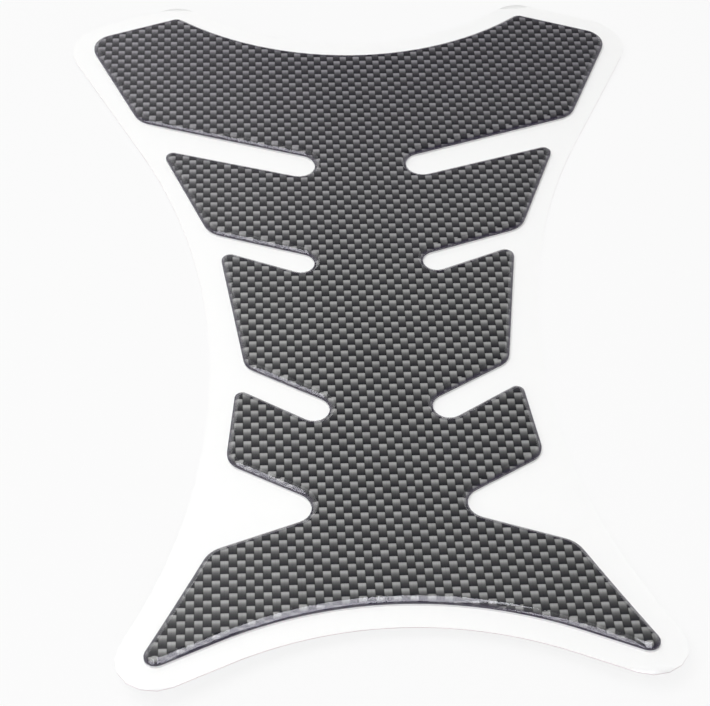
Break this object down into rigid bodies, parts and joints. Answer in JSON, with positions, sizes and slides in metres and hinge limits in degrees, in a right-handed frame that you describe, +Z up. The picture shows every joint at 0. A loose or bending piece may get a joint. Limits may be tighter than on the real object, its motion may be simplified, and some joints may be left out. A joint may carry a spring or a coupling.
{
  "type": "tank pad sticker",
  "caption": "Domed fishbone-shaped protector sticker with a carbon-weave look, lying on its white release liner, for the fuel tank of a motorbike.",
  "frame": {"origin": "centre of the bounding box at the underside of the release liner, which is flat there", "axes": "+Z up out of the face of the sticker, +Y towards its wide head, X across its ribs; the shape is the same on both sides of X = 0"},
  "size_m": [0.1572, 0.2314, 0.0069],
  "materials": {
    "liner_paper": "white, smooth, silicone coated",
    "film_print": "dark grey plain-weave print",
    "dome_clear": "clear, high gloss"
  },
  "bodies": {
    "root": {"release_liner": "liner_paper", "printed_film": "film_print", "clear_dome": "dome_clear"}
  },
  "joints": []
}
